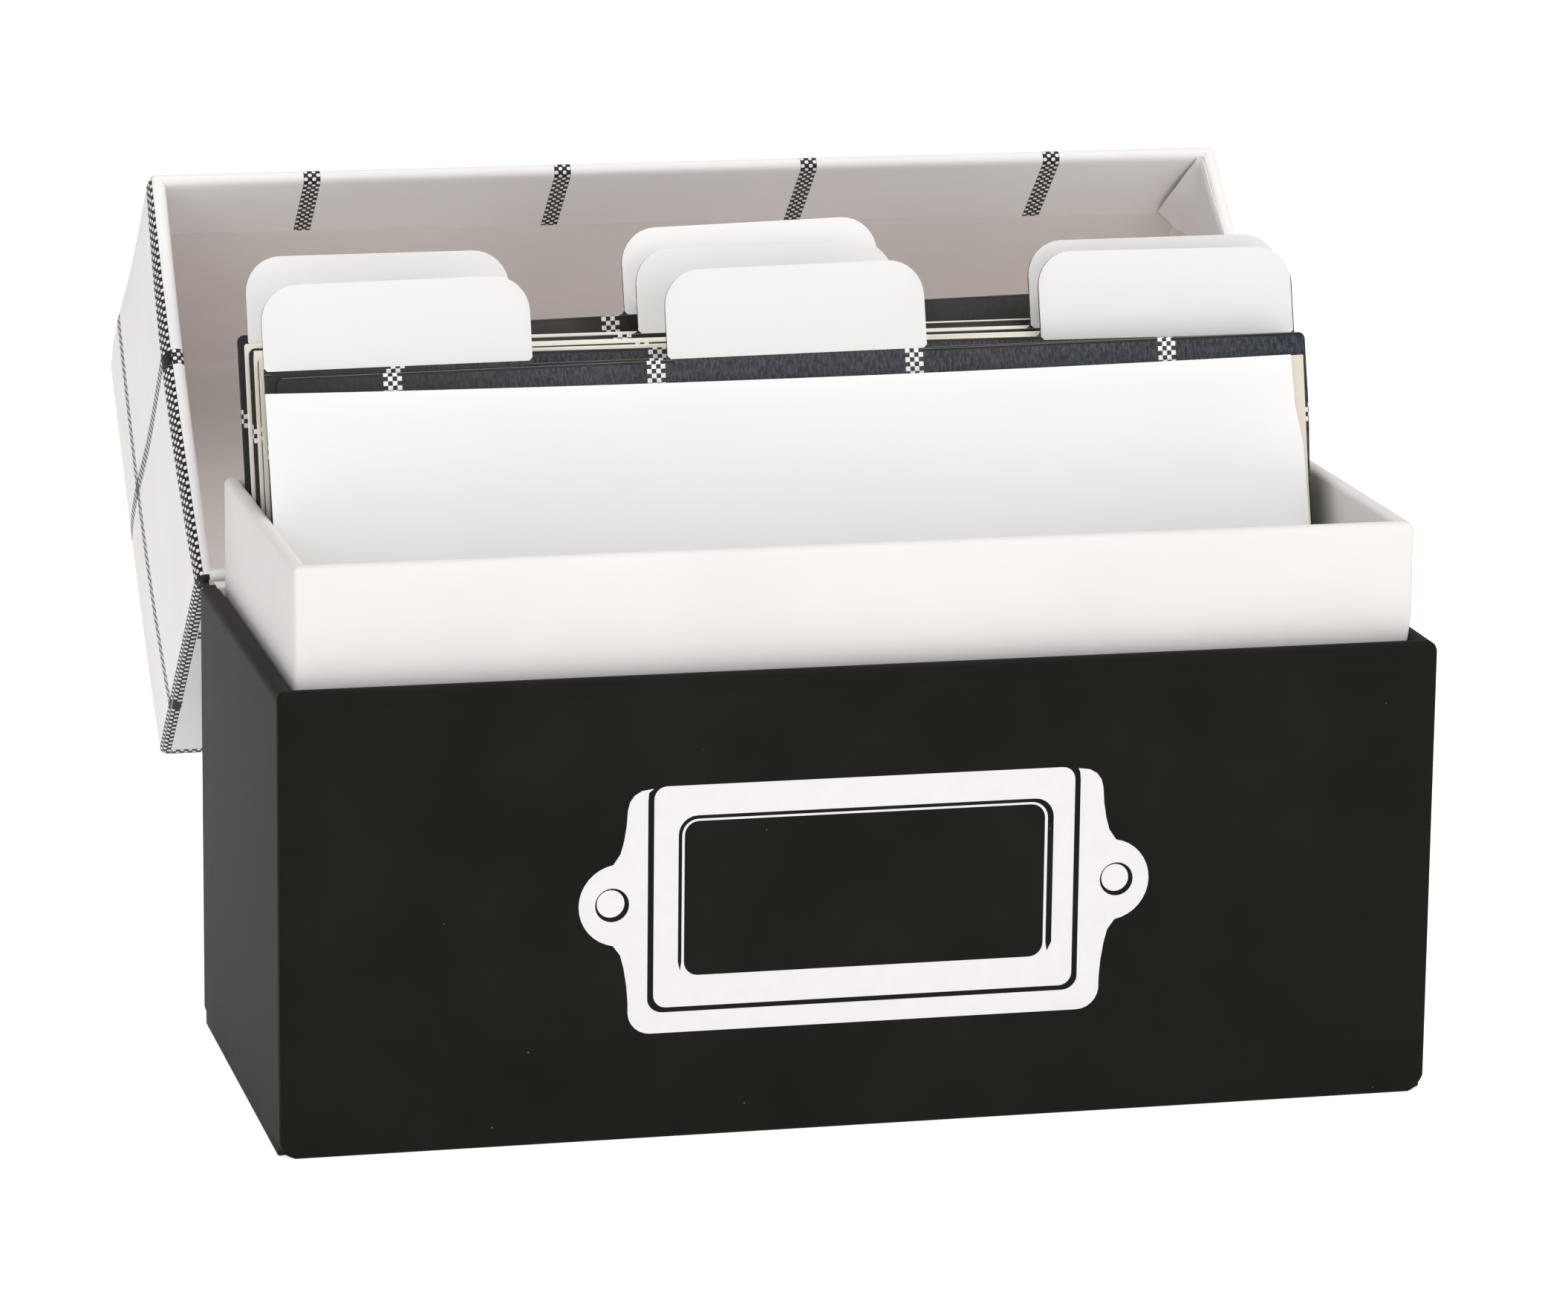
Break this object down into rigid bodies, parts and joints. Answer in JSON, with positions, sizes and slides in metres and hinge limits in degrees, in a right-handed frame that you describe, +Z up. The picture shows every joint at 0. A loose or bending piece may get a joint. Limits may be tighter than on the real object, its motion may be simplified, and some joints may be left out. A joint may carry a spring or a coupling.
{
  "type": "recipe card box",
  "caption": "Hinged paper-wrapped board box with an inner collar, standing open, with tabbed dividers and recipe cards leaning inside.",
  "frame": {"origin": "middle of the base's underside", "axes": "+X to the right along the front, +Y to the back, where the hinge is, +Z up"},
  "size_m": [0.1646, 0.1567, 0.118],
  "materials": {
    "greyboard": "solid grey board, hidden under its paper",
    "black_wrap": "matt black wrapping paper",
    "white_paper": "smooth white paper",
    "hinge_paper": "thin white hinge paper",
    "check_paper": "white paper printed with a black checked windowpane",
    "liner_paper": "plain pale lining paper",
    "divider_stock": "black printed card with white tab",
    "header_stock": "smooth white card",
    "cream_stock": "cream card"
  },
  "bodies": {
    "base": {"base_front_board": "greyboard", "base_back_board": "greyboard", "base_left_board": "greyboard", "base_right_board": "greyboard", "base_floor_board": "greyboard", "base_wrap": "black_wrap", "base_floor_liner": "white_paper", "base_bottom_sheet": "black_wrap", "collar_front_board": "greyboard", "collar_back_board": "greyboard", "collar_left_board": "greyboard", "collar_right_board": "greyboard", "collar_wrap": "white_paper", "hinge_base_leaf": "hinge_paper"},
    "lid": {"lid_front_board": "greyboard", "lid_back_board": "greyboard", "lid_left_board": "greyboard", "lid_right_board": "greyboard", "lid_top_board": "greyboard", "lid_wrap": "check_paper", "lid_wall_liner": "liner_paper", "lid_top_liner": "liner_paper", "hinge_lid_leaf": "hinge_paper"},
    "card_pack": {"cards_middle": "cream_stock"},
    "front_cards": {"header_card": "header_stock", "front_card": "cream_stock"},
    "low_cards": {"cards_low": "cream_stock"},
    "high_cards": {"cards_high": "cream_stock"},
    "divider_1_sheet": {"divider_1": "divider_stock"},
    "divider_2_sheet": {"divider_2": "divider_stock"},
    "divider_3_sheet": {"divider_3": "divider_stock"},
    "divider_4_sheet": {"divider_4": "divider_stock"},
    "divider_5_sheet": {"divider_5": "divider_stock"},
    "divider_6_sheet": {"divider_6": "divider_stock"},
    "divider_7_sheet": {"divider_7": "divider_stock"}
  },
  "joints": [
    {"name": "lid_hinge", "type": "hinge", "parent": "base", "child": "lid", "pos_m": [0, 0.0347, 0.06595], "axis": [-1, 0, 0], "range_deg": [-131, 44]},
    {"name": "pack_tilt", "type": "hinge", "parent": "base", "child": "card_pack", "pos_m": [0, -0.0194, 0], "axis": [-1, 0, 0], "range_deg": [-3.05, 1.05]},
    {"name": "front_cards_lift", "type": "slide", "parent": "card_pack", "child": "front_cards", "axis": [0, 0.2756, 0.9613], "range_m": [0, 0.086]},
    {"name": "divider_1_sheet_lift", "type": "slide", "parent": "card_pack", "child": "divider_1_sheet", "axis": [0, 0.2756, 0.9613], "range_m": [0, 0.086]},
    {"name": "divider_2_sheet_lift", "type": "slide", "parent": "card_pack", "child": "divider_2_sheet", "axis": [0, 0.2756, 0.9613], "range_m": [0, 0.086]},
    {"name": "divider_3_sheet_lift", "type": "slide", "parent": "card_pack", "child": "divider_3_sheet", "axis": [0, 0.2756, 0.9613], "range_m": [0, 0.086]},
    {"name": "divider_4_sheet_lift", "type": "slide", "parent": "card_pack", "child": "divider_4_sheet", "axis": [0, 0.2756, 0.9613], "range_m": [0, 0.086]},
    {"name": "divider_5_sheet_lift", "type": "slide", "parent": "card_pack", "child": "divider_5_sheet", "axis": [0, 0.2756, 0.9613], "range_m": [0, 0.086]},
    {"name": "divider_6_sheet_lift", "type": "slide", "parent": "card_pack", "child": "divider_6_sheet", "axis": [0, 0.2756, 0.9613], "range_m": [0, 0.086]},
    {"name": "divider_7_sheet_lift", "type": "slide", "parent": "card_pack", "child": "divider_7_sheet", "axis": [0, 0.2756, 0.9613], "range_m": [0, 0.086]},
    {"name": "low_cards_lift", "type": "slide", "parent": "card_pack", "child": "low_cards", "axis": [0, 0.2756, 0.9613], "range_m": [0, 0.086]},
    {"name": "high_cards_lift", "type": "slide", "parent": "card_pack", "child": "high_cards", "axis": [0, 0.2756, 0.9613], "range_m": [0, 0.086]}
  ],
  "couplings": [
    {"joint": "pack_tilt", "follows": "lid_hinge", "ratio": 0.0229}
  ]
}
